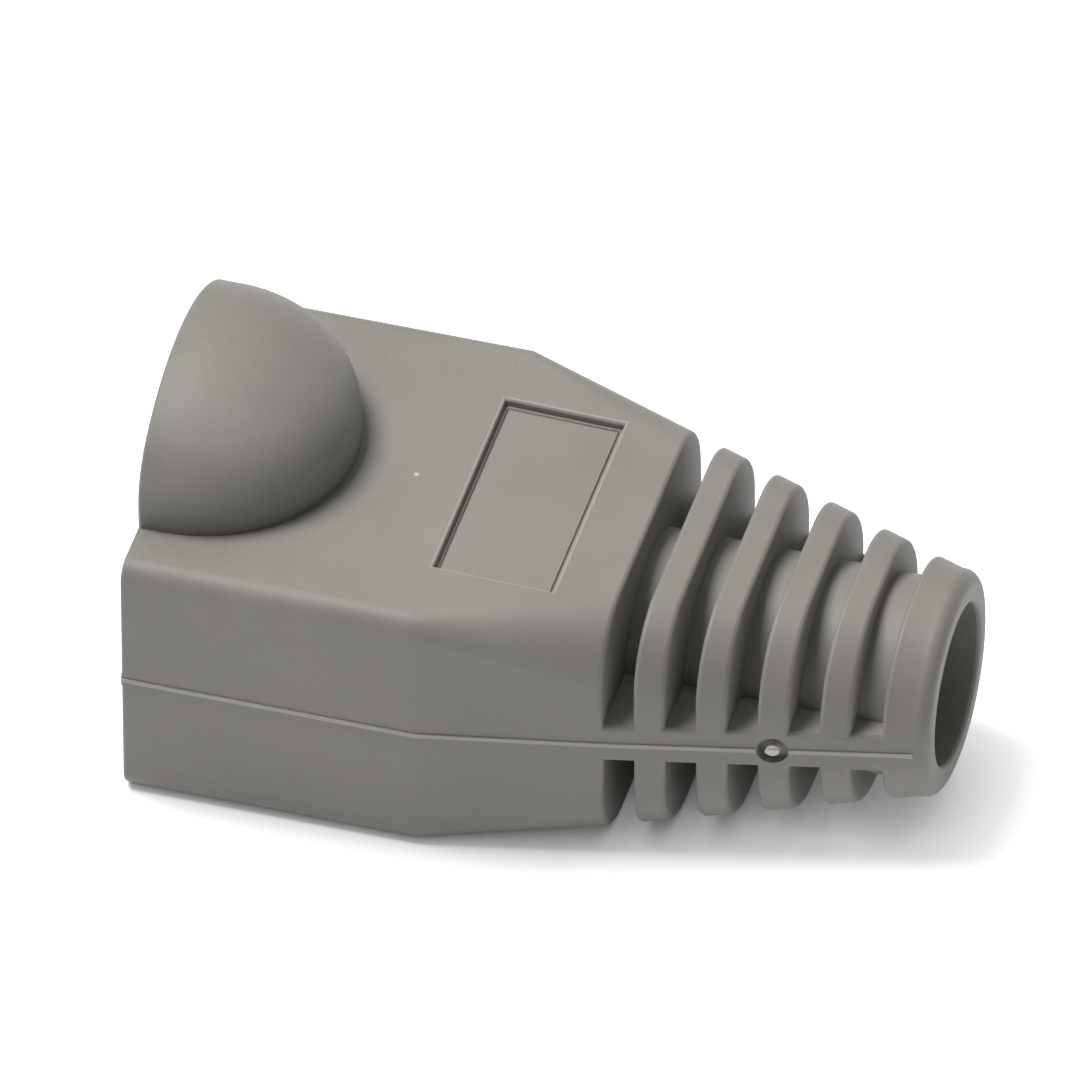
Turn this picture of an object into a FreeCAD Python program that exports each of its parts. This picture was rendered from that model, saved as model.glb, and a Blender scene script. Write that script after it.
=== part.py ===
import FreeCAD, Part
import math
import os

import Sketcher
from FreeCAD import Placement, Rotation, Vector

# Strain relief boot for an 8-position modular plug, moulded in one piece.
#
# Frame, in millimetres: X runs from the open mouth to the cable end, Y across, Z up.
# The boot lies on its flat underside, latch dome up, with the origin on the floor
# under the middle of its length.  Inside the body, X = 0 is the face of the mouth.

NODE = "strain_relief_boot"

SIZES = [
    # sleeve that grips the plug
    ("body_width", 14.4),
    ("body_height", 9.75),
    ("sleeve_corner_radius", 0.7),
    ("crease_station", 10.0),
    ("body_length", 16.05),
    ("body_end_width", 11.95),
    ("body_end_height", 9.58),
    ("body_end_corner_radius", 2.4),
    # ribbed tail and the ring that ends it
    ("axis_height", 4.87),
    ("slot_count", 5),
    ("slot_width", 0.98),
    ("slot_pitch", 1.98),
    ("spine_height", 1.5),
    ("ring_length", 1.53),
    ("ring_diameter", 7.5),
    ("ring_flat", 0.3),
    ("tail_straight", 0.6),
    ("tail_edge_radius", 0.5),
    # passage for plug and cable
    ("pocket_width", 12.1),
    ("pocket_height", 6.7),
    ("pocket_floor", 1.9),
    ("pocket_corner_radius", 0.4),
    ("pocket_depth", 10.0),
    ("plug_ledge", 0.15),
    ("funnel_length", 5.0),
    ("bore_shoulder", 0.1),
    ("bore_diameter", 5.5),
    ("tube_wall", 0.6),
    # dome over the plug's latch
    ("dome_width", 10.2),
    ("dome_lead", 0.85),
    ("dome_side", 0.9),
    ("dome_shoulder_radius", 2.8),
    ("dome_crown_rise", 0.8),
    ("dome_wall", 0.9),
    # label recesses, parting line and gate marks
    ("label_before_crease", 0.15),
    ("label_length", 4.05),
    ("label_width", 8.5),
    ("label_depth", 0.3),
    ("parting_width", 0.14),
    ("parting_rise", 0.06),
    ("gate_rib", 3),
    ("gate_diameter", 1.05),
    ("gate_stub_diameter", 0.45),
    ("gate_depth", 0.3),
]


class Size:
    """A value kept as its number and as the sheet expression that gives it."""

    def __init__(self, number, text):
        self.number = number
        self.text = text

    def combine(self, other, sign, number):
        return Size(number, f"({self.text} {sign} {size(other).text})")

    def __add__(self, other):
        return self.combine(other, "+", self.number + size(other).number)

    def __sub__(self, other):
        return self.combine(other, "-", self.number - size(other).number)

    def __mul__(self, other):
        return self.combine(other, "*", self.number * size(other).number)

    def __truediv__(self, other):
        return self.combine(other, "/", self.number / size(other).number)

    def __neg__(self):
        return self * -1


def size(value):
    """The value itself if it is a Size, or a plain number made one."""
    return value if isinstance(value, Size) else Size(value, f"({value})")


doc = FreeCAD.newDocument("rj45_strain_relief_boot")
sheet = doc.addObject("Spreadsheet::Sheet", "Sizes")
for row, (alias, number) in enumerate(SIZES, start=1):
    sheet.set(f"A{row}", alias)
    sheet.set(f"B{row}", str(number))
    sheet.setAlias(f"B{row}", alias)
doc.recompute()

given = {alias: Size(number, f"Sizes.{alias}") for alias, number in SIZES}

# Places and sizes that follow from the sheet
half_width = given["body_width"] / 2
height = given["body_height"]
crease = given["crease_station"]
body_end = given["body_length"]
body_end_half = given["body_end_width"] / 2
axis_height = given["axis_height"]
pitch = given["slot_pitch"]
slot_width = given["slot_width"]
slots_end = body_end + pitch * (given["slot_count"] - 1) + slot_width
total_length = slots_end + given["ring_length"]
ring_radius = given["ring_diameter"] / 2
edge_radius = given["tail_edge_radius"]
straight_start = total_length - given["tail_straight"]
bore_radius = given["bore_diameter"] / 2
pocket_half = given["pocket_width"] / 2
pocket_floor = given["pocket_floor"]
pocket_top = pocket_floor + given["pocket_height"]
pocket_depth = given["pocket_depth"]
dome_radius = given["dome_width"] / 2
nothing = size(0)

body = doc.addObject("PartDesign::Body", NODE)
body.Label = NODE


def bind(target, name, value):
    """Ties a property, or a named constraint, to the sheet."""
    target.setExpression(name, size(value).text)


def origin_plane(role):
    """One of the body's own origin planes."""
    plane = next(item for item in body.Origin.OriginFeatures if item.Role == role)
    return (plane, [""])


def new_sketch(name, plane, offset=nothing):
    """A sketch on one of the body's origin planes, moved along the plane's normal."""
    sketch = body.newObject("Sketcher::SketchObject", name)
    sketch.AttachmentSupport = origin_plane(plane)
    sketch.MapMode = "FlatFace"
    sketch.AttachmentOffset = Placement(Vector(0, 0, offset.number), Rotation())
    bind(sketch, ".AttachmentOffset.Base.z", offset)
    return sketch


def dimension(sketch, kind, name, elements, value):
    """A named dimension of a sketch, tied to the sheet."""
    value = size(value)
    index = sketch.addConstraint(Sketcher.Constraint(kind, *elements, value.number))
    sketch.renameConstraint(index, name)
    bind(sketch, f".Constraints.{name}", value)


def place_point(sketch, name, geometry, point, across, up):
    """Holds a point of a sketch at its two distances from the sketch's origin."""
    dimension(sketch, "DistanceX", f"{name}_across", (-1, 1, geometry, point), across)
    dimension(sketch, "DistanceY", f"{name}_up", (-1, 1, geometry, point), up)


def line(sketch, start, end):
    """A line between two points given as pairs of Sizes; returns its index."""
    first = Vector(start[0].number, start[1].number, 0)
    last = Vector(end[0].number, end[1].number, 0)
    return sketch.addGeometry(Part.LineSegment(first, last), False)


def arc(sketch, centre, radius, from_degrees, to_degrees):
    """An arc that runs anticlockwise between two angles; returns its index."""
    circle = Part.Circle(
        Vector(centre[0].number, centre[1].number, 0), Vector(0, 0, 1), radius.number
    )
    first = math.radians(from_degrees)
    last = math.radians(to_degrees)
    return sketch.addGeometry(Part.ArcOfCircle(circle, first, last), False)


def outline(sketch, points):
    """A closed outline of straight lines, each corner held by its own distances."""
    points = [(size(across), size(up)) for across, up in points]
    sides = [
        line(sketch, start, end) for start, end in zip(points, points[1:] + points[:1])
    ]
    for number, (side, point) in enumerate(zip(sides, points)):
        before = sides[number - 1]
        sketch.addConstraint(Sketcher.Constraint("Coincident", before, 2, side, 1))
        place_point(sketch, f"corner_{number + 1}", side, 1, point[0], point[1])


def rounded_section(name, station, half, bottom, top, corner):
    """A cross section: a rectangle with rounded corners, symmetric about Y = 0."""
    sketch = new_sketch(name, "YZ_Plane", size(station))
    half = size(half)
    bottom = size(bottom)
    top = size(top)
    corner = size(corner)
    flat = half - corner
    low = bottom + corner
    high = top - corner
    sides = [
        line(sketch, (-flat, bottom), (flat, bottom)),
        line(sketch, (half, low), (half, high)),
        line(sketch, (flat, top), (-flat, top)),
        line(sketch, (-half, high), (-half, low)),
    ]
    corners = [
        arc(sketch, (flat, low), corner, -90, 0),
        arc(sketch, (flat, high), corner, 0, 90),
        arc(sketch, (-flat, high), corner, 90, 180),
        arc(sketch, (-flat, low), corner, 180, 270),
    ]
    for number in range(4):
        following = sides[(number + 1) % 4]
        sketch.addConstraint(
            [
                Sketcher.Constraint("Tangent", sides[number], 2, corners[number], 1),
                Sketcher.Constraint("Tangent", corners[number], 2, following, 1),
            ]
        )
    for side, direction in zip(sides, ("Horizontal", "Vertical") * 2):
        sketch.addConstraint(Sketcher.Constraint(direction, side))
    for number in range(3):
        sketch.addConstraint(
            Sketcher.Constraint("Equal", corners[number], corners[number + 1])
        )
    dimension(sketch, "DistanceX", "right", (-1, 1, sides[1], 1), half)
    dimension(sketch, "DistanceX", "left", (sides[3], 1, -1, 1), half)
    dimension(sketch, "DistanceY", "bottom", (-1, 1, sides[0], 1), bottom)
    dimension(sketch, "DistanceY", "top", (-1, 1, sides[2], 1), top)
    dimension(sketch, "Radius", "corner", (corners[0],), corner)
    return sketch


def dome_profile(sketch, inset, base, whole):
    """The dome's outline: upright sides, round shoulders and a flatter crown.

    inset is how far the outline lies inside the dome's outer surface, and base the
    height of its foot.  A whole outline lies across the mouth; a half one, on the
    right of the vertical axis, is the profile that is revolved.
    """
    side_top = height + given["dome_side"]
    radius = dome_radius - inset
    shoulder = given["dome_shoulder_radius"] - inset
    rise = given["dome_crown_rise"]
    reach = radius - shoulder
    # the crown's centre lies on the axis, this far under the shoulders' centres
    depth = (reach * reach / rise - rise) / 2
    crown = depth + shoulder + rise
    crown_centre = (nothing, side_top - depth)
    slope = math.degrees(math.atan2(depth.number, reach.number))
    right = line(sketch, (radius, base), (radius, side_top))
    round_right = arc(sketch, (reach, side_top), shoulder, 0, slope)
    if whole:
        cap = arc(sketch, crown_centre, crown, slope, 180 - slope)
        round_left = arc(sketch, (-reach, side_top), shoulder, 180 - slope, 180)
        left = line(sketch, (-radius, side_top), (-radius, base))
        floor = line(sketch, (-radius, base), (radius, base))
        constraints = [
            ("Tangent", cap, 2, round_left, 1),
            ("Tangent", round_left, 2, left, 1),
            ("Coincident", left, 2, floor, 1),
            ("Vertical", left),
            ("Equal", round_right, round_left),
        ]
    else:
        cap = arc(sketch, crown_centre, crown, slope, 90)
        middle = line(sketch, (nothing, side_top + shoulder + rise), (nothing, base))
        floor = line(sketch, (nothing, base), (radius, base))
        constraints = [
            ("Coincident", cap, 2, middle, 1),
            ("Coincident", middle, 2, floor, 1),
            ("PointOnObject", middle, 1, -2),
        ]
    constraints += [
        ("Tangent", right, 2, round_right, 1),
        ("Tangent", round_right, 2, cap, 1),
        ("Coincident", floor, 2, right, 1),
        ("Vertical", right),
        ("PointOnObject", cap, 3, -2),
    ]
    for constraint in constraints:
        sketch.addConstraint(Sketcher.Constraint(*constraint))
    place_point(sketch, "foot", right, 1, radius, base)
    place_point(sketch, "other_foot", floor, 1, -radius if whole else nothing, base)
    dimension(sketch, "DistanceY", "side_top", (-1, 1, right, 2), side_top)
    dimension(sketch, "Radius", "shoulder", (round_right,), shoulder)
    dimension(sketch, "Radius", "crown", (cap,), crown)


def slot_half(sketch, name, upward):
    """Half of a slot's outline: all that lies outside the tube and beyond the spines."""
    tube = bore_radius + given["tube_wall"]
    spine = given["spine_height"] / 2
    reach = size(math.sqrt(tube.number**2 - spine.number**2))
    side = half_width + slot_width
    lean = math.degrees(math.asin(spine.number / tube.number))
    # the straight sides run on from the arc's end round to its start
    if upward:
        near = axis_height + spine
        far = height + slot_width
        round_part = arc(sketch, (nothing, axis_height), tube, lean, 180 - lean)
        foot, edge = -reach, -side
    else:
        near = axis_height - spine
        far = -slot_width
        round_part = arc(sketch, (nothing, axis_height), tube, 180 + lean, 360 - lean)
        foot, edge = reach, side
    path = [(foot, near), (edge, near), (edge, far)]
    path += [(-edge, far), (-edge, near), (-foot, near)]
    sides = [line(sketch, start, end) for start, end in zip(path, path[1:])]
    for first, second in zip(sides, sides[1:]):
        sketch.addConstraint(Sketcher.Constraint("Coincident", first, 2, second, 1))
    for constraint in (
        ("Coincident", round_part, 2, sides[0], 1),
        ("Coincident", sides[-1], 2, round_part, 1),
        ("Horizontal", sides[0]),
        ("Horizontal", sides[-1]),
    ):
        sketch.addConstraint(Sketcher.Constraint(*constraint))
    for number, corner in enumerate(path[1:5]):
        place_point(sketch, f"{name}_{number + 1}", sides[number], 2, *corner)
    place_point(sketch, f"{name}_centre", round_part, 3, nothing, axis_height)
    dimension(sketch, "Radius", f"{name}_tube", (round_part,), tube)


def add(kind, name, **settings):
    """A feature at the tip of the body, with plain settings or Sizes."""
    feature = body.newObject(f"PartDesign::{kind}", name)
    for setting, value in settings.items():
        if isinstance(value, Size):
            setattr(feature, setting, value.number)
            bind(feature, setting, value)
        else:
            setattr(feature, setting, value)
    return feature


def cut(kind, name, **settings):
    """A feature that removes material, checked to have removed some."""
    doc.recompute()
    before = body.Shape.Volume
    feature = add(kind, name, **settings)
    doc.recompute()
    if feature.Shape.Volume > before - 0.001:
        raise RuntimeError(f"{name} removed nothing")
    return feature


def sketch_of_outline(name, plane, offset, points):
    sketch = new_sketch(name, plane, offset)
    outline(sketch, points)
    return sketch


# Outer form: a straight sleeve to the crease, a tapering body, then a tail whose
# section goes from a rounded rectangle to almost a circle about the cable's axis.
# The tail's last stretch is straight, and its outer edge is rounded.
sleeve_corner = given["sleeve_corner_radius"]
mouth_section = rounded_section("MouthSection", 0, half_width, 0, height, sleeve_corner)
add("Pad", "Sleeve", Profile=mouth_section, Length=crease)
crease_section = rounded_section(
    "CreaseSection", crease, half_width, 0, height, sleeve_corner
)
body_end_section = rounded_section(
    "BodyEndSection",
    body_end,
    body_end_half,
    0,
    given["body_end_height"],
    given["body_end_corner_radius"],
)


def ring_section(name):
    """The nearly round section of the tail's end."""
    return rounded_section(
        name,
        straight_start,
        ring_radius,
        axis_height - ring_radius,
        axis_height + ring_radius,
        ring_radius - given["ring_flat"] / 2,
    )


add(
    "AdditiveLoft",
    "TaperAndTail",
    Profile=crease_section,
    Sections=[body_end_section, ring_section("TailSection")],
    Ruled=True,
)
tail_end = add(
    "Pad", "TailEnd", Profile=ring_section("RingSection"), Length=given["tail_straight"]
)
doc.recompute()
tail_face = total_length.number - 0.001
rim = [
    f"Edge{number}"
    for number, edge in enumerate(tail_end.Shape.Edges, start=1)
    if edge.BoundBox.XMin > tail_face
]
add("Fillet", "TailEdge", Base=(tail_end, rim), Radius=edge_radius)

# Dome over the plug's latch: a short straight lead at the mouth, then half a turn
# about a vertical axis.  Its foot is sunk in the wall it stands on.
dome_foot = (height + pocket_top) / 2
dome_rim = new_sketch("DomeRimOutline", "YZ_Plane")
dome_profile(dome_rim, nothing, dome_foot, True)
add("Pad", "DomeLead", Profile=dome_rim, Length=given["dome_lead"])


def dome_half(name, inset, base):
    """The dome's half profile, in the plane Y = 0, with its axis at the lead's end."""
    sketch = new_sketch(name, "XZ_Plane")
    bind(sketch, ".AttachmentOffset.Base.x", given["dome_lead"])
    dome_profile(sketch, inset, base, False)
    return sketch


dome_outer = dome_half("DomeOuterProfile", nothing, dome_foot)
add(
    "Revolution",
    "Dome",
    Profile=dome_outer,
    ReferenceAxis=(dome_outer, ["V_Axis"]),
    Midplane=True,
    Angle=180.0,
)

# Raised parting line along both sides, at the height of the cable's axis.  It ends
# where the rounding of the tail's edge starts.
rise = given["parting_rise"]
plan = [
    (nothing, half_width + rise),
    (crease, half_width + rise),
    (body_end, body_end_half + rise),
    (straight_start, ring_radius + rise),
    (total_length - edge_radius, ring_radius + rise),
]
plan_points = [(along, -across) for along, across in plan] + plan[::-1]
parting = sketch_of_outline("PartingPlan", "XY_Plane", axis_height, plan_points)
add("Pad", "PartingLine", Profile=parting, Length=given["parting_width"], Midplane=True)

# Passage: the plug's pocket, the dome's hollow, the funnel and the cable's bore
pocket_section = rounded_section(
    "PocketSection",
    0,
    pocket_half,
    pocket_floor,
    pocket_top,
    given["pocket_corner_radius"],
)
cut("Pocket", "PlugPocket", Profile=pocket_section, Length=pocket_depth, Reversed=True)

hollow_foot = pocket_top - given["dome_wall"]
hollow_rim = new_sketch("HollowRimOutline", "YZ_Plane")
dome_profile(hollow_rim, given["dome_wall"], hollow_foot, True)
cut("Pocket", "HollowLead", Profile=hollow_rim, Length=given["dome_lead"], Reversed=True)
hollow = dome_half("HollowProfile", given["dome_wall"], hollow_foot)
cut(
    "Groove",
    "DomeHollow",
    Profile=hollow,
    ReferenceAxis=(hollow, ["V_Axis"]),
    Midplane=True,
    Angle=180.0,
)

def rectangle(name, station, half, bottom, top):
    """A plain rectangular section, symmetric about Y = 0."""
    corners = [(-half, bottom), (half, bottom), (half, top), (-half, top)]
    return sketch_of_outline(name, "YZ_Plane", station, corners)


# The funnel's flat sides start at a ledge that stops the plug, and end in a square
# just outside the round bore.
ledge = given["plug_ledge"]
funnel_end = pocket_depth + given["funnel_length"]
funnel_end_half = bore_radius + given["bore_shoulder"]
funnel_mouth = rectangle(
    "FunnelMouth",
    pocket_depth,
    pocket_half - ledge,
    pocket_floor + ledge,
    pocket_top - ledge,
)
funnel_square = rectangle(
    "FunnelEnd",
    funnel_end,
    funnel_end_half,
    axis_height - funnel_end_half,
    axis_height + funnel_end_half,
)
cut(
    "SubtractiveLoft",
    "Funnel",
    Profile=funnel_mouth,
    Sections=[funnel_square],
    Ruled=True,
)

bore_sketch = new_sketch("BoreSection", "YZ_Plane", total_length)
bore_circle = bore_sketch.addGeometry(
    Part.Circle(Vector(0, axis_height.number, 0), Vector(0, 0, 1), bore_radius.number)
)
place_point(bore_sketch, "axis", bore_circle, 3, nothing, axis_height)
dimension(bore_sketch, "Radius", "bore", (bore_circle,), bore_radius)
cut("Pocket", "CableBore", Profile=bore_sketch, Length=total_length - funnel_end)

# Slots between the ribs, cut down to the tube round the bore.  A spine along each
# side, at the parting line, joins the ribs.
slot_sketch = new_sketch("SlotSection", "YZ_Plane", body_end)
slot_half(slot_sketch, "upper", True)
slot_half(slot_sketch, "lower", False)
first_slot = cut(
    "Pocket", "Slot", Profile=slot_sketch, Length=slot_width, Reversed=True
)
slots = add(
    "LinearPattern",
    "Slots",
    Originals=[first_slot],
    Direction=(slot_sketch, ["N_Axis"]),
    Length=pitch * (given["slot_count"] - 1),
    Occurrences=given["slot_count"],
)
body.Tip = slots

# Label recesses, one on the sloping top and one on the underside
fall = height - given["body_end_height"]
tilt = math.degrees(math.atan2(fall.number, (body_end - crease).number))
label_near = -given["label_before_crease"]
label_far = label_near + given["label_length"]
label_half = given["label_width"] / 2
label_points = [
    (label_near, -label_half),
    (label_far, -label_half),
    (label_far, label_half),
    (label_near, label_half),
]
for name, level, lean, reversed_cut in (
    ("TopLabel", height, tilt, False),
    ("UndersideLabel", nothing, 0, True),
):
    recess = new_sketch(f"{name}Outline", "XY_Plane", level)
    bind(recess, ".AttachmentOffset.Base.x", crease)
    if lean:
        recess.AttachmentOffset = Placement(
            Vector(crease.number, 0, level.number), Rotation(Vector(0, 1, 0), lean)
        )
        bind(
            recess,
            ".AttachmentOffset.Rotation.Angle",
            Size(tilt, f"atan({fall.text} / {(body_end - crease).text})"),
        )
    outline(recess, label_points)
    cut("Pocket", name, Profile=recess, Length=given["label_depth"], Reversed=reversed_cut)

# Gate marks: a round recess on each spine, with the stub left where the gate tore off
gate_station = body_end + pitch * given["gate_rib"] - (pitch - slot_width) / 2
along_tail = (gate_station - body_end) / (straight_start - body_end)
gate_half_width = body_end_half - (body_end_half - ring_radius) * along_tail
gate_sketch = new_sketch(
    "GateOutline", "XZ_Plane", gate_half_width - given["gate_depth"]
)
for name, diameter in (
    ("recess", given["gate_diameter"]),
    ("stub", given["gate_stub_diameter"]),
):
    centre = Vector(gate_station.number, axis_height.number, 0)
    ring = gate_sketch.addGeometry(
        Part.Circle(centre, Vector(0, 0, 1), diameter.number / 2)
    )
    place_point(gate_sketch, name, ring, 3, gate_station, axis_height)
    dimension(gate_sketch, "Radius", f"{name}_radius", (ring,), diameter / 2)
gate = cut(
    "Pocket", "GateMark", Profile=gate_sketch, Length=half_width, Reversed=True
)
gates = add(
    "Mirrored", "GateMarks", Originals=[gate], MirrorPlane=origin_plane("XZ_Plane")
)
body.Tip = gates

bind(body, ".Placement.Base.x", -total_length / 2)
doc.recompute()

for item in doc.Objects:
    if "Invalid" in item.State or "Error" in item.State:
        raise RuntimeError(f"{item.Name} failed: {item.State}")
if body.Shape.isNull() or not body.Shape.isValid():
    raise RuntimeError("the boot is not a valid solid")
if len(body.Shape.Solids) != 1:
    raise RuntimeError("the boot is not one solid")

os.makedirs("parts", exist_ok=True)
body.Shape.exportStep(f"parts/{NODE}.step")
box = body.Shape.BoundBox
print(f"{NODE}: {box.XLength:.2f} x {box.YLength:.2f} x {box.ZLength:.2f} mm")
print(f"volume {body.Shape.Volume:.1f} mm3, {len(body.Shape.Faces)} faces")
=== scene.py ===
"""A strain relief boot for a network cable, dressed for a studio picture.

The moulding's own solid gives every form.  The shown piece is a copy of it whose
corners are rolled over, as the corners of a soft moulding are, in one material.
"""

import math

import bmesh
import bpy
import numpy as np
from mathutils import Matrix, Vector


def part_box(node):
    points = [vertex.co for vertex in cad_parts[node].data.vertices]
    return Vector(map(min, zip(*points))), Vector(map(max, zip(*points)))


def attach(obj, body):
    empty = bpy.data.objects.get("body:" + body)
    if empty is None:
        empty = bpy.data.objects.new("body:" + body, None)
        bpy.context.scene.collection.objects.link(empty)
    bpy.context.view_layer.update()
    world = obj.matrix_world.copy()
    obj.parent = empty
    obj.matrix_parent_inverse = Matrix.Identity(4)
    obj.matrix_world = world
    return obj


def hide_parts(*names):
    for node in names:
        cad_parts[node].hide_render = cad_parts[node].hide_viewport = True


MM = 0.001
NODE = "strain_relief_boot"

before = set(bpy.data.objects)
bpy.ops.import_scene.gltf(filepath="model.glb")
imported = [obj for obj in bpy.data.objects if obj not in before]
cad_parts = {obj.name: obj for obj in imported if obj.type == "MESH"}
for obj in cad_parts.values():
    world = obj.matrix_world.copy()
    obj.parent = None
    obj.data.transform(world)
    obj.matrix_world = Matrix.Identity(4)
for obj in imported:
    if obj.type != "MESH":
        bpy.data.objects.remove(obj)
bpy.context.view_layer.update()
boot_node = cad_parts[NODE]
low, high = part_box(NODE)

# Every length below is in mm.  Places along the boot are from the mouth, and heights
# from the underside.
LENGTH = (high.x - low.x) / MM
CREASE = 10.0
BODY_END = 16.05
GATE_STATION = 21.5
AXIS_HEIGHT = 4.87
POCKET_HALF = 6.2
BORE_HALF = 2.9
END_REACH = 0.1

# The label panels: where along the boot and how far from its middle they lie, and the
# heights of their floor and rim, first the underside's panel and then the top's
LABEL_REACH = (CREASE - 0.5, BODY_END - 1)
LABEL_HALF = 4.3
LABEL_HEIGHTS = ((0.3, 0.0), (9.4, 9.7))
FLOOR_SLACK = 0.1
RIM_SLACK = 0.12
# A face is level when its normal's height is above the first, upright below the second
LEVEL = 0.999
UPRIGHT = 0.1
# The fine line round a label's floor, where the mould's insert meets the mould
WITNESS_SETBACK = 0.09
WITNESS_WIDTH = 0.08
WITNESS_DEPTH = 0.08

# How far in from its edge each kind of corner is rolled over, and in how many steps
RIB_ROUNDING = 0.15
MOUTH_ROUNDING = 0.11
LABEL_ROUNDING = 0.11
ROLL_STEPS = 3
CREASE_SOFT = 0.35

# The parting line and the gate marks are left as they are, this far round them
PARTING_BAND = 0.3
GATE_REACH = 0.8
HAIR = 0.01

# In degrees: faces that turn less than the first are one flat face, and a corner that
# turns more than the others is shaded sharp, or rolled over
FLAT_TURN = 0.2
SHARP_TURN = 28
CORNER_TURN = 35

# Points closer than the first are one point, and a cut takes in points this near
MERGE_REACH = 0.001
CUT_REACH = 0.0001

# How pale the plastic is painted, as a share of a gate stub's end: a painted highlight
# on the label rims, and on the parting line's crest a painted highlight with some
# whitening of the thin flash
RIM_PAINTED_HIGHLIGHT = 0.22
CREST_HIGHLIGHT_AND_WHITENING = 0.35
CREST_HALF = 0.08
STUB_RADIUS = 0.24


def linear(colour):
    """The linear RGBA of an sRGB hex colour such as 9A968F."""
    parts = [int(colour[i : i + 2], 16) / 255 for i in (0, 2, 4)]
    curve = [p / 12.92 if p <= 0.04045 else ((p + 0.055) / 1.055) ** 2.4 for p in parts]
    return (*curve, 1.0)


def add_node(tree, kind, settings=None, links=None, **values):
    """Adds a node: settings are its properties, values its sockets' numbers and links
    the sockets of other nodes that feed it.  A socket is named, or numbered as s0."""
    node = tree.nodes.new(kind)
    for name, value in (settings or {}).items():
        setattr(node, name, value)

    def socket(name):
        if name[0] == "s" and name[1:].isdigit():
            return node.inputs[int(name[1:])]
        return node.inputs[name.replace("_", " ")]

    for name, value in values.items():
        socket(name).default_value = value
    for name, source in (links or {}).items():
        tree.links.new(source, socket(name))
    return node


# ---------------------------------------------------------------- the moulding


def label_panels(work):
    """Finishes both label panels: a rolled rim with a painted highlight along it, and a
    fine V-shaped line round the floor, where the mould's exchangeable insert meets the
    mould.  The line is three insets: one flat, one down and one up again."""
    pale = work.faces.layers.float.new("pale_marks_and_highlights")

    def on_label(place, height, slack):
        along = place.x / MM + LENGTH / 2
        return (
            LABEL_REACH[0] < along < LABEL_REACH[1]
            and abs(place.y) < LABEL_HALF * MM
            and abs(place.z - height * MM) < slack * MM
        )

    for floor_height, rim_height in LABEL_HEIGHTS:
        floor = [
            face
            for face in work.faces
            if abs(face.normal.z) > LEVEL
            and on_label(face.calc_center_median(), floor_height, FLOOR_SLACK)
        ]
        rim = [
            edge
            for edge in work.edges
            if min(abs(face.normal.z) for face in edge.link_faces) < UPRIGHT
            and all(on_label(vert.co, rim_height, RIM_SLACK) for vert in edge.verts)
        ]
        for thickness, depth in (
            (WITNESS_SETBACK, 0),
            (WITNESS_WIDTH / 2, -WITNESS_DEPTH),
            (WITNESS_WIDTH / 2, WITNESS_DEPTH),
        ):
            bmesh.ops.inset_region(
                work,
                faces=floor,
                thickness=thickness * MM,
                depth=depth * MM,
                use_even_offset=True,
            )
        rolled = bmesh.ops.bevel(
            work,
            geom=rim,
            offset=LABEL_ROUNDING * MM,
            segments=ROLL_STEPS,
            profile=0.5,
            affect="EDGES",
        )
        # a painted highlight: the rolled rim is painted paler
        for face in rolled["faces"]:
            face[pale] = RIM_PAINTED_HIGHLIGHT


def merged_copy(node, name):
    """A copy of a CAD node's mesh as one closed skin: doubles are merged and triangles
    in one plane become one face.  Edges are cut where the parting line's band starts,
    so that a rolled corner can end there, and faces are cut a little before and after
    the crease, so that the shading turns between the two cuts, as on a soft corner."""
    work = bmesh.new()
    work.from_mesh(node.data)
    bmesh.ops.remove_doubles(work, verts=work.verts, dist=MERGE_REACH * MM)
    bmesh.ops.dissolve_limit(
        work,
        angle_limit=math.radians(FLAT_TURN),
        verts=work.verts,
        edges=work.edges,
    )
    label_panels(work)
    crease = CREASE - LENGTH / 2
    cuts = [
        ((0, 0, AXIS_HEIGHT - PARTING_BAND), (0, 0, 1)),
        ((0, 0, AXIS_HEIGHT + PARTING_BAND), (0, 0, 1)),
        ((crease - CREASE_SOFT, 0, 0), (1, 0, 0)),
        ((crease + CREASE_SOFT, 0, 0), (1, 0, 0)),
    ]
    for point, normal in cuts:
        bmesh.ops.bisect_plane(
            work,
            geom=work.verts[:] + work.edges[:] + work.faces[:],
            plane_co=Vector(point) * MM,
            plane_no=normal,
            dist=CUT_REACH * MM,
        )
    mesh = bpy.data.meshes.new(name)
    work.to_mesh(mesh)
    work.free()
    piece = bpy.data.objects.new(name, mesh)
    bpy.context.scene.collection.objects.link(piece)
    return piece


def read(items, name, width, kind=float):
    """A property of every item of a mesh, as one array of rows."""
    values = np.empty(len(items) * width, kind)
    items.foreach_get(name, values)
    return values.reshape(-1, width) if width > 1 else values


def edge_facts(mesh):
    """For every edge: its two ends in mm from the mouth, the turn between its two
    faces in degrees, and whether that corner stands out."""
    places = read(mesh.vertices, "co", 3) / MM + (LENGTH / 2, 0, 0)
    corners = read(mesh.edges, "vertices", 2, int)
    ends = places[corners]
    normals = read(mesh.polygons, "normal", 3)
    face_of_loop = np.repeat(
        np.arange(len(mesh.polygons)), read(mesh.polygons, "loop_total", 1, int)
    )
    order = np.argsort(read(mesh.loops, "edge_index", 1, int), kind="stable")
    first_loop = order.reshape(-1, 2)[:, 0]
    first, second = face_of_loop[order].reshape(-1, 2).T
    turn = np.degrees(
        np.arccos(np.clip((normals[first] * normals[second]).sum(1), -1, 1))
    )
    # round a face its edges run anticlockwise, so this crossing points into the face
    forward = read(mesh.loops, "vertex_index", 1, int)[first_loop] == corners[:, 0]
    run = (ends[:, 1] - ends[:, 0]) * np.where(forward, 1, -1)[:, None]
    inward = np.cross(normals[first], run)
    outward = (inward * normals[second]).sum(1) < 0
    return ends, turn, outward


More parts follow.
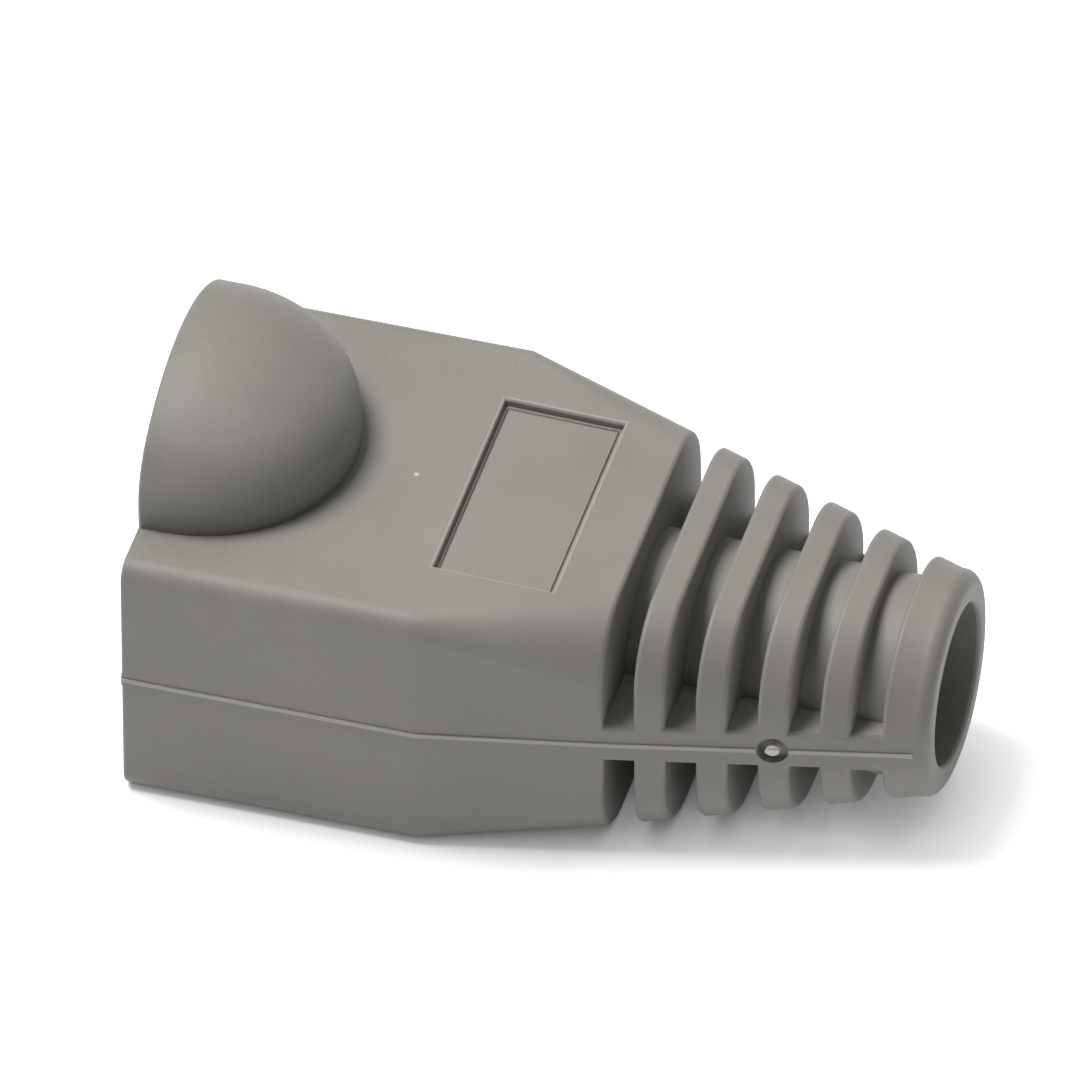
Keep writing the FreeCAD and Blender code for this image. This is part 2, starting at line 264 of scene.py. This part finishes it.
def rolled_corners(piece):
    """Weights for the Bevel modifier, as shares of its width, and the sharp edges.  A
    corner ends where the parting line's band starts, but for the rims of the pocket and
    of the bore, which the parting line does not cross."""
    ends, turn, outward = edge_facts(piece.data)
    along, across, up = ends.mean(1).T
    at_mouth = along < END_REACH
    at_cable_end = along > LENGTH - END_REACH
    in_tail = along > BODY_END - END_REACH
    off_parting = np.abs(ends[:, :, 2] - AXIS_HEIGHT).min(1) > PARTING_BAND - HAIR
    off_parting |= at_mouth & (np.abs(across) < POCKET_HALF)
    off_parting |= at_cable_end & (np.abs(across) < BORE_HALF)
    at_gate = np.hypot(along - GATE_STATION, up - AXIS_HEIGHT) < GATE_REACH
    corner = (turn > CORNER_TURN) & outward & off_parting & ~at_gate
    rounding = np.zeros(len(turn))
    rounding[corner & in_tail] = RIB_ROUNDING
    rounding[corner & at_mouth] = MOUTH_ROUNDING
    weight = piece.data.attributes.new("bevel_weight_edge", "FLOAT", "EDGE")
    weight.data.foreach_set("value", (rounding / RIB_ROUNDING).astype(np.float32))
    sharp = piece.data.attributes.new("sharp_edge", "BOOLEAN", "EDGE")
    sharp.data.foreach_set("value", turn > SHARP_TURN)


def crest_highlight_and_pale_stub(piece):
    """Adds to the face attribute that says how pale the plastic is painted: a little on
    the parting line's crest, a painted highlight with some whitening of the thin flash,
    and fully on the broken end of each gate stub."""
    mesh = piece.data
    first = read(mesh.polygons, "loop_start", 1, int)
    corners = read(mesh.loops, "vertex_index", 1, int)
    places = read(mesh.vertices, "co", 3)[corners] / MM + (LENGTH / 2, 0, -AXIS_HEIGHT)
    off_line = np.maximum.reduceat(np.abs(places[:, 2]), first)
    off_gate = np.hypot(places[:, 0] - GATE_STATION, places[:, 2])
    off_stub = np.maximum.reduceat(off_gate, first)
    marks = mesh.attributes["pale_marks_and_highlights"].data
    pale_marks_and_highlights = read(marks, "value", 1)
    # the parting line's crest: a painted highlight, with some whitening of the thin
    # flash
    pale_marks_and_highlights[off_line < CREST_HALF] = CREST_HIGHLIGHT_AND_WHITENING
    pale_marks_and_highlights[off_stub < STUB_RADIUS] = 1
    marks.foreach_set("value", pale_marks_and_highlights.astype(np.float32))


def moulding():
    """The boot as it is shown."""
    piece = merged_copy(boot_node, "boot_moulding")
    crest_highlight_and_pale_stub(piece)
    rolled_corners(piece)
    piece.data.polygons.foreach_set("use_smooth", [True] * len(piece.data.polygons))
    bevel = piece.modifiers.new("rolled corners", "BEVEL")
    bevel.limit_method = "WEIGHT"
    bevel.width = RIB_ROUNDING * MM
    bevel.segments = ROLL_STEPS
    bevel.use_clamp_overlap = False
    normals = piece.modifiers.new("flat faces stay flat", "WEIGHTED_NORMAL")
    normals.weight = 100
    normals.keep_sharp = True
    return piece


# ---------------------------------------------------------------- materials


PVC_DARK = "878580"
PVC_LIGHT = "979590"
PVC_PALE_MARKS_AND_HIGHLIGHTS = "E4E2DC"
CLOUD_SIZE = 5
GRAIN_SIZE = 0.14
WAVE_SIZE = 3.2
WAVE_DEPTH = 0.03
GRAIN_DEPTH = 0.006
DUST_PLACE = (-5.18, -0.11, 9.75)
DUST_RADIUS = 0.12


def soft_pvc():
    """Soft PVC, injection moulded in a spark-eroded cavity: a matte warm grey with a
    fine even grain, slow waves where thick walls shrank, and no gloss to speak of."""
    material = bpy.data.materials.new("moulded_soft_pvc")
    material.use_nodes = True
    tree = material.node_tree
    tree.nodes.clear()
    place = add_node(tree, "ShaderNodeTexCoord").outputs["Object"]
    # slow differences in tone, as the mix of pigment and resin leaves
    cloud = add_node(
        tree,
        "ShaderNodeTexNoise",
        links={"Vector": place},
        Scale=1 / (CLOUD_SIZE * MM),
        Detail=3.0,
        Roughness=0.55,
    )
    # the spark grain, drawn several times coarser than the real one, so that it shows
    grain = add_node(
        tree,
        "ShaderNodeTexNoise",
        links={"Vector": place},
        Scale=1 / (GRAIN_SIZE * MM),
        Detail=2.0,
        Roughness=0.6,
    )
    tone = add_node(
        tree,
        "ShaderNodeMath",
        {"operation": "MULTIPLY_ADD"},
        {"s0": grain.outputs["Fac"], "s2": cloud.outputs["Fac"]},
        s1=0.45,
    )
    colour = add_node(
        tree, "ShaderNodeValToRGB", links={"Fac": tone.outputs["Value"]}
    )
    colour.color_ramp.elements[0].position = 0.35
    colour.color_ramp.elements[0].color = linear(PVC_DARK)
    colour.color_ramp.elements[1].position = 1.1
    colour.color_ramp.elements[1].color = linear(PVC_LIGHT)
    # one grain of pale dust on the top, faint towards its edge
    apart = add_node(
        tree,
        "ShaderNodeVectorMath",
        {"operation": "DISTANCE"},
        {"s0": place},
        s1=Vector(DUST_PLACE) * MM,
    )
    dust = add_node(
        tree,
        "ShaderNodeMath",
        {"operation": "MULTIPLY_ADD", "use_clamp": True},
        {"s0": apart.outputs["Value"]},
        s1=-1 / (DUST_RADIUS * MM),
        s2=1.0,
    )
    # paler where the face attribute says so: painted highlights on the label rims and
    # the
    #     # parting line's crest, with some whitening of the thin flash there, the end
    #     of each
    #     # gate stub near white, and the dust grain
    pale_marks_and_highlights = add_node(tree, "ShaderNodeAttribute", {"attribute_name": "pale_marks_and_highlights"})
    pale = add_node(
        tree,
        "ShaderNodeMath",
        {"operation": "MAXIMUM"},
        {"s0": pale_marks_and_highlights.outputs["Fac"], "s1": dust.outputs["Value"]},
    )
    shown_colour = add_node(
        tree,
        "ShaderNodeMix",
        {"data_type": "RGBA"},
        {"s0": pale.outputs["Value"], "s6": colour.outputs["Color"]},
        s7=linear(PVC_PALE_MARKS_AND_HIGHLIGHTS),
    )
    # the darker hollows of the grain shine a little more
    roughness = add_node(
        tree,
        "ShaderNodeMapRange",
        links={"Value": tone.outputs["Value"]},
        From_Min=0.4,
        From_Max=1.0,
        To_Min=0.5,
        To_Max=0.64,
    )
    # the waves where thick walls shrank, and the grain on them
    waves = add_node(
        tree,
        "ShaderNodeTexNoise",
        links={"Vector": place},
        Scale=1 / (WAVE_SIZE * MM),
        Detail=1.0,
    )
    swell = add_node(
        tree,
        "ShaderNodeBump",
        links={"Height": waves.outputs["Fac"]},
        Strength=1.0,
        Distance=WAVE_DEPTH * MM,
    )
    skin = add_node(
        tree,
        "ShaderNodeBump",
        links={"Height": grain.outputs["Fac"], "Normal": swell.outputs["Normal"]},
        Strength=1.0,
        Distance=GRAIN_DEPTH * MM,
    )
    shader = add_node(
        tree,
        "ShaderNodeBsdfPrincipled",
        links={
            "Base Color": shown_colour.outputs[2],
            "Roughness": roughness.outputs["Result"],
            "Normal": skin.outputs["Normal"],
        },
        IOR=1.53,
    )
    add_node(
        tree, "ShaderNodeOutputMaterial", links={"Surface": shader.outputs["BSDF"]}
    )
    return material


PAPER_LIT = "FAFAFC"
PAPER_SHOWN = "E2E2E6"
PAPER_GLOW = 0.68
COVER_REACH = 2.5


def white_paper():
    """White paper.  It lights the boot as plain paper does.  A camera or a mirror sees
    a duller paper with a glow added, which fades only where the boot covers the paper
    closely: there the shadow is dark, and a little way off the paper is white."""
    material = bpy.data.materials.new("white_paper")
    material.use_nodes = True
    tree = material.node_tree
    tree.nodes.clear()
    ray = add_node(tree, "ShaderNodeLightPath").outputs
    mirrored = add_node(
        tree,
        "ShaderNodeMath",
        {"operation": "MAXIMUM"},
        {"s0": ray["Is Glossy Ray"], "s1": ray["Is Transmission Ray"]},
    )
    seen = add_node(
        tree,
        "ShaderNodeMath",
        {"operation": "MAXIMUM"},
        {"s0": ray["Is Camera Ray"], "s1": mirrored.outputs["Value"]},
    )
    paper = add_node(tree, "ShaderNodeBsdfDiffuse", Color=linear(PAPER_LIT))
    duller = add_node(tree, "ShaderNodeBsdfDiffuse", Color=linear(PAPER_SHOWN))
    # how open the paper is to the sky, 1 where nothing stands over it
    openness = add_node(
        tree,
        "ShaderNodeAmbientOcclusion",
        {"samples": 4},
        Distance=COVER_REACH * MM,
    )
    strength = add_node(
        tree,
        "ShaderNodeMath",
        {"operation": "MULTIPLY"},
        {"s0": openness.outputs["AO"]},
        s1=PAPER_GLOW,
    )
    glow = add_node(
        tree,
        "ShaderNodeEmission",
        links={"Strength": strength.outputs["Value"]},
        Color=linear("FFFFFF"),
    )
    glowing = add_node(
        tree,
        "ShaderNodeAddShader",
        links={"s0": duller.outputs["BSDF"], "s1": glow.outputs["Emission"]},
    )
    surface = add_node(
        tree,
        "ShaderNodeMixShader",
        links={
            "s0": seen.outputs["Value"],
            "s1": paper.outputs["BSDF"],
            "s2": glowing.outputs["Shader"],
        },
    )
    add_node(
        tree, "ShaderNodeOutputMaterial", links={"Surface": surface.outputs["Shader"]}
    )
    return material


# ---------------------------------------------------------------- the object

boot = moulding()
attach(boot, "root")
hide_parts(NODE)
boot.data.materials.append(soft_pvc())

# ---------------------------------------------------------------- the studio

FLOOR_HALF = 1500
FLOOR_LEVEL = -0.01


def plain_floor():
    """A flat sheet of white paper, a hair below the boot's flat underside, so that the
    two share no plane."""
    mesh = bpy.data.meshes.new("paper_floor")
    corners = np.array([(-1, -1, 0), (1, -1, 0), (1, 1, 0), (-1, 1, 0)]) * FLOOR_HALF
    corners = (corners + (0, 0, FLOOR_LEVEL)) * MM
    mesh.from_pydata(corners.tolist(), [], [(0, 1, 2, 3)])
    mesh.materials.append(white_paper())
    floor = bpy.data.objects.new("paper_floor", mesh)
    bpy.context.scene.collection.objects.link(floor)


plain_floor()


def looking(from_point, at_point):
    """The placing of a camera or lamp that looks from one point at another."""
    aim = (Vector(at_point) - Vector(from_point)).to_track_quat("-Z", "Y")
    return Matrix.Translation(from_point) @ aim.to_matrix().to_4x4()


LAMP_DISTANCE = 900
LAMP_HEIGHT = 5
LAMP_WHITE = "FFFDFA"


def lamp(name, direction, width, power):
    """A square soft lamp of a width in metres and a power in watts, which faces the
    boot from one direction."""
    data = bpy.data.lights.new(name, "AREA")
    data.shape = "SQUARE"
    data.size = width
    data.energy = power
    data.color = linear(LAMP_WHITE)[:3]
    light = bpy.data.objects.new(name, data)
    bpy.context.scene.collection.objects.link(light)
    middle = Vector((0, 0, LAMP_HEIGHT * MM))
    place = middle + Vector(direction).normalized() * LAMP_DISTANCE * MM
    light.matrix_world = looking(place, middle)


# A small key lamp overhead towards the mouth, a wide one behind, and a weak wide one
# that opens up the tail
lamp("overhead_softbox", (-0.4, 0.0, 1.0), 0.35, 7.2)
lamp("rear_softbox", (-0.3, 0.5, 1.0), 1.1, 2.9)
lamp("tail_softbox", (1.2, 0.0, 1.0), 1.1, 0.75)

# A faint even light fills what the lamps do not reach
world = bpy.data.worlds.new("studio")
bpy.context.scene.world = world
world.use_nodes = True
sky = world.node_tree.nodes["Background"]
sky.inputs["Color"].default_value = linear("F6F8FF")
sky.inputs["Strength"].default_value = 0.05

# The camera stands well back with a long lens, so that the boot shows almost no
# perspective: 42 degrees above the floor, turned 16 degrees towards the cable end.
ELEVATION = math.radians(42.02)
TURN = math.radians(16.35)
ROLL = math.radians(-0.39)
CAMERA_DISTANCE = 1235
AIM = Vector((-2.1, 3.71, 4.29)) * MM

sight = Vector(
    (
        math.sin(TURN) * math.cos(ELEVATION),
        -math.cos(TURN) * math.cos(ELEVATION),
        math.sin(ELEVATION),
    )
)
camera_data = bpy.data.cameras.new("camera")
camera_data.lens = 1250
camera_data.clip_start = 0.05
camera_data.clip_end = 10
camera = bpy.data.objects.new("camera", camera_data)
bpy.context.scene.collection.objects.link(camera)
stand = AIM + sight * CAMERA_DISTANCE * MM
camera.matrix_world = looking(stand, AIM) @ Matrix.Rotation(ROLL, 4, "Z")
bpy.context.scene.camera = camera
bpy.context.scene.view_settings.view_transform = "Standard"
